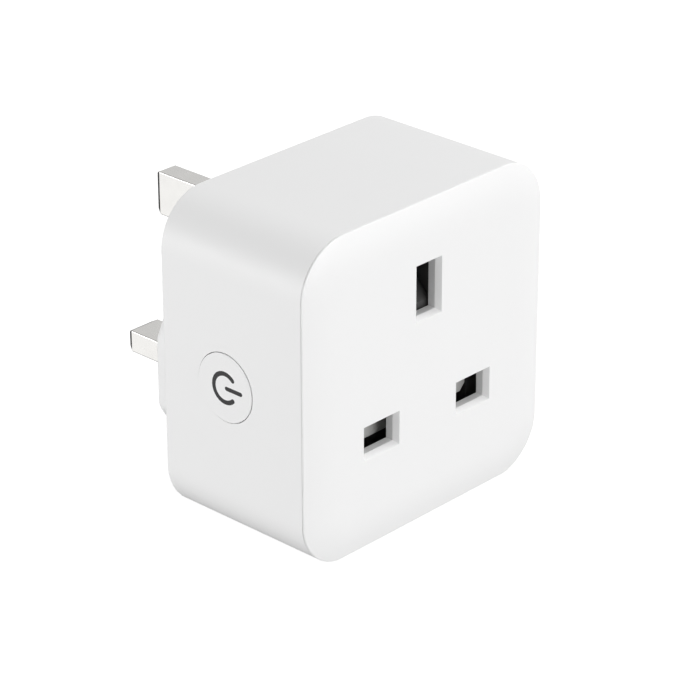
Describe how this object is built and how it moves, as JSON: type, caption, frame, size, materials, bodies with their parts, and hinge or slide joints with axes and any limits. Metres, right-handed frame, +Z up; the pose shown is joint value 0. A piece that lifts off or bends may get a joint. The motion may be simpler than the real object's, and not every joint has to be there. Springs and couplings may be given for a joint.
{
  "type": "smart plug",
  "caption": "Square smart plug with a shuttered socket face, a round power button in its side, and flat plug pins on a shaped rear boss.",
  "frame": {"origin": "midway between the live and neutral pins, on the flat face that the plug pins stand on", "axes": "+X to the right seen from the socket side, +Y into the wall along the pins, +Z up towards the earth pin"},
  "size_m": [0.0572, 0.0612, 0.057],
  "materials": {
    "cover_white": "satin gloss moulded",
    "case_white": "fine satin moulded",
    "nickel": "bright nickel plate on brass",
    "sleeve_black": "satin moulded",
    "mark_grey": "pad printed",
    "switch_black": "moulded",
    "board_green": "solder mask on glass laminate",
    "light_lens": "clear epoxy",
    "shutter_grey": "moulded",
    "carrier_black": "moulded",
    "spring_steel": "drawn wire",
    "contact_brass": "stamped",
    "copper": "rolled copper",
    "screw_steel": "zinc plate",
    "relay_black": "moulded",
    "bobbin_white": "moulded",
    "relay_iron": "nickel plate",
    "capacitor_can": "printed sleeve",
    "ferrite": "sintered",
    "film_box": "moulded case",
    "varistor_blue": "epoxy coated",
    "resistor_green": "cement coated",
    "chip_black": "moulded",
    "shield_tin": "tinned",
    "header_black": "moulded"
  },
  "bodies": {
    "root": {"front_cover": "cover_white", "body_casing": "case_white", "rear_base": "case_white", "earth_pin": "nickel", "live_pin": "nickel", "neutral_pin": "nickel", "live_pin_sleeve": "sleeve_black", "neutral_pin_sleeve": "sleeve_black", "switch_body": "switch_black", "button_board": "board_green", "status_light": "light_lens", "shutter_spring": "spring_steel", "socket_carrier": "carrier_black", "live_contact": "contact_brass", "neutral_contact": "contact_brass", "earth_contact": "contact_brass", "earth_link": "copper", "main_board": "board_green", "neutral_bar": "copper", "live_contact_bar": "copper", "live_pin_bar": "copper", "shunt_resistor": "copper", "shunt_pad": "copper", "board_screws": "screw_steel", "relay_base": "relay_black", "relay_cover": "relay_black", "relay_bobbin": "bobbin_white", "relay_coil": "copper", "relay_core": "relay_iron", "relay_fixed_contact": "contact_brass", "input_capacitor": "capacitor_can", "output_capacitor": "capacitor_can", "choke_core": "ferrite", "choke_winding": "copper", "film_capacitor": "film_box", "varistor": "varistor_blue", "fusible_resistor": "resistor_green", "bridge_rectifier": "chip_black", "supply_chip": "chip_black", "meter_chip": "chip_black", "radio_module": "board_green", "radio_shield": "shield_tin", "antenna_trace": "copper", "board_header": "header_black"},
    "button": {"power_button": "case_white", "power_mark": "mark_grey"},
    "switch": {"switch_plunger": "switch_black"},
    "shutter": {"shutter_plate": "shutter_grey", "shutter_cam": "carrier_black"},
    "armature": {"relay_armature": "relay_iron", "relay_moving_contact": "contact_brass"}
  },
  "joints": [
    {"name": "button_press", "type": "slide", "parent": "root", "child": "button", "axis": [1, 0, 0], "range_m": [0, 0.0003], "stiffness_N_per_m": 1500, "springref_m": -0.001},
    {"name": "switch_press", "type": "slide", "parent": "root", "child": "switch", "axis": [1, 0, 0], "range_m": [0, 0.0003]},
    {"name": "shutter_slide", "type": "slide", "parent": "root", "child": "shutter", "axis": [0, 0, -1], "range_m": [0, 0.0055], "stiffness_N_per_m": 120, "springref_m": -0.003, "deforming": ["shutter_spring"]},
    {"name": "relay_pull_in", "type": "hinge", "parent": "root", "child": "armature", "pos_m": [-0.00725, -0.0255, -0.01195], "axis": [0, 0, 1], "range_deg": [0, 4], "stiffness_Nm_per_rad": 0.02, "springref_deg": -8.59}
  ],
  "couplings": [
    {"joint": "switch_press", "follows": "button_press", "ratio": 1}
  ]
}
